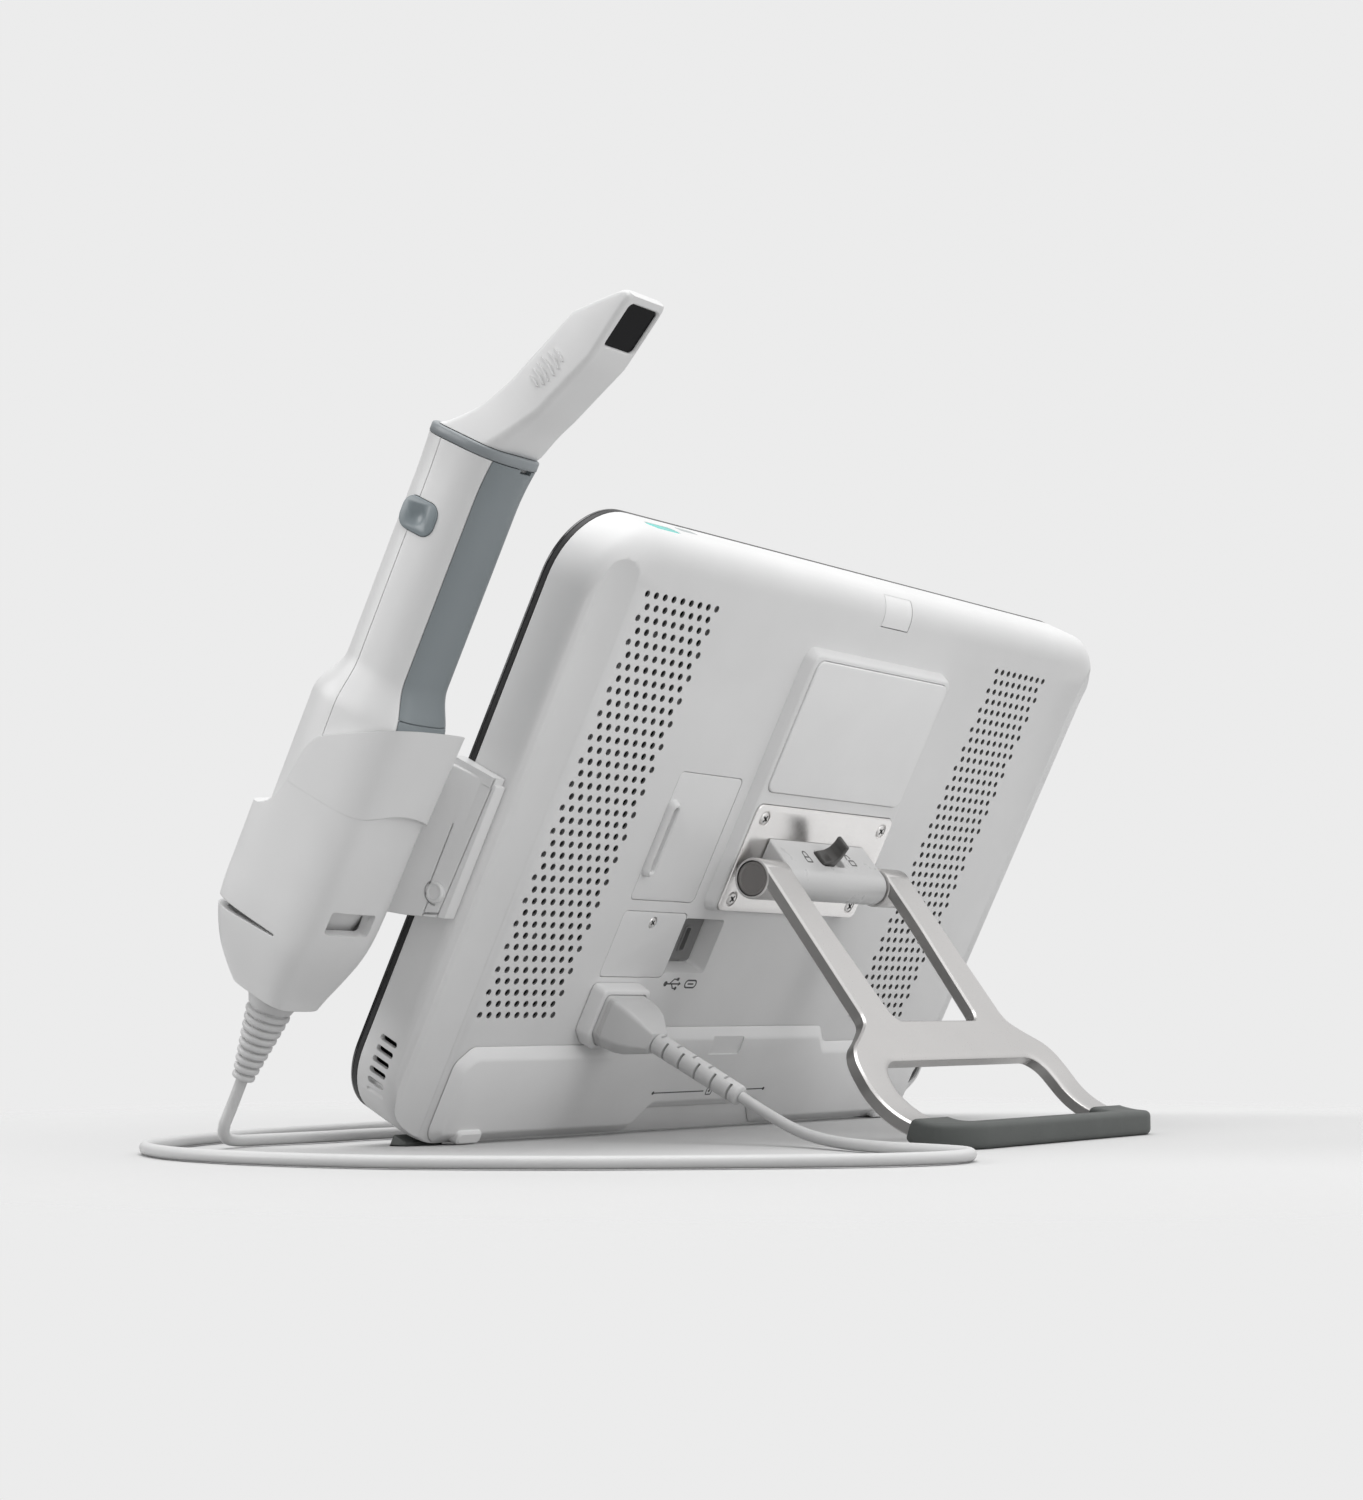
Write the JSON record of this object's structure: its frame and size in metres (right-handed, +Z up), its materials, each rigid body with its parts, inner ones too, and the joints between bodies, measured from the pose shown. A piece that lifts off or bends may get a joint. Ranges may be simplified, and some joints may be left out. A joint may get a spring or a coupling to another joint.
{
  "type": "intraoral scanner",
  "caption": "Portable dental scanning unit: tilted display with a perforated moulded back, folding stand, side cradle and a corded scanning wand.",
  "frame": {"origin": "middle of the footprint of the unit, stand and wand, on the table", "axes": "+Z up, the screen faces -Y and leans back towards +Y, the wand is on the +X side"},
  "size_m": [0.5563, 0.3627, 0.3279],
  "materials": {
    "white_plastic": "fine moulded texture",
    "black_glass": "glossy black glass",
    "black_plastic": "matte",
    "display_panel": "satin",
    "circuit_board": "satin",
    "aluminium": "bare",
    "polished_plate": "polished",
    "steel": "bare",
    "satin_metal": "satin, slightly cast",
    "grey_plastic": "satin",
    "dark_plastic": "satin",
    "grey_rubber": "matte",
    "slate_plastic": "satin",
    "teal_plastic": "glossy",
    "dark_lens": "glossy",
    "relief_plastic": "matte",
    "cord_jacket": "smooth"
  },
  "bodies": {
    "unit": {"rear_housing": "white_plastic", "display_glass": "black_glass", "front_bezel": "black_plastic", "display_panel": "display_panel", "main_board": "circuit_board", "heat_sink": "aluminium", "battery_pack": "white_plastic", "port_cover": "white_plastic", "port_cover_screw": "steel", "port_block": "dark_plastic", "mount_cover": "white_plastic", "hinge_plate": "polished_plate", "hinge_screw_1": "steel", "hinge_screw_2": "steel", "hinge_screw_3": "steel", "hinge_screw_4": "steel", "top_insert": "white_plastic", "dc_inlet": "dark_plastic", "base_foot_left": "grey_rubber", "base_foot_right": "grey_rubber", "wand_socket": "white_plastic", "wand_plug": "white_plastic", "plug_strain_relief": "relief_plastic", "hinge_barrel": "grey_plastic", "hinge_pin": "steel", "wand_shell_front": "white_plastic", "wand_shell_back": "white_plastic", "grip_strip": "slate_plastic", "collar_ring": "slate_plastic", "wand_sleeve": "white_plastic", "sleeve_window": "dark_lens", "cradle_cup": "white_plastic", "cradle_bracket": "white_plastic", "wand_strain_relief": "relief_plastic", "wand_cable": "cord_jacket"},
    "stand": {"kickstand": "satin_metal", "foot_sleeve": "grey_rubber", "hinge_cap_left": "dark_plastic", "hinge_cap_right": "dark_plastic"},
    "lock_lever": {"lock_lever": "dark_plastic"},
    "service_door": {"service_door": "white_plastic"},
    "power_button": {"power_button": "teal_plastic"},
    "side_button_left": {"side_button_left": "slate_plastic"},
    "side_button_right": {"side_button_right": "slate_plastic"}
  },
  "joints": [
    {"name": "stand_hinge", "type": "hinge", "parent": "unit", "child": "stand", "pos_m": [-0.0321, 0.00068, 0.11675], "axis": [1, 0, 0], "range_deg": [-30, 116]},
    {"name": "lock_slide", "type": "slide", "parent": "unit", "child": "lock_lever", "axis": [-1, 0, 0], "range_m": [0, 0.007]},
    {"name": "door_hinge", "type": "hinge", "parent": "unit", "child": "service_door", "pos_m": [0.0388, -0.01286, 0.13356], "axis": [0, 0.4534, 0.8913], "range_deg": [0, 90]},
    {"name": "power_press", "type": "slide", "parent": "unit", "child": "power_button", "axis": [0, -0.4534, -0.8913], "range_m": [0, 0.0008], "stiffness_N_per_m": 1500},
    {"name": "left_press", "type": "slide", "parent": "unit", "child": "side_button_left", "axis": [-1, 0, 0], "range_m": [0, 0.0006], "stiffness_N_per_m": 1500},
    {"name": "right_press", "type": "slide", "parent": "unit", "child": "side_button_right", "axis": [1, 0, 0], "range_m": [0, 0.0006], "stiffness_N_per_m": 1500}
  ]
}
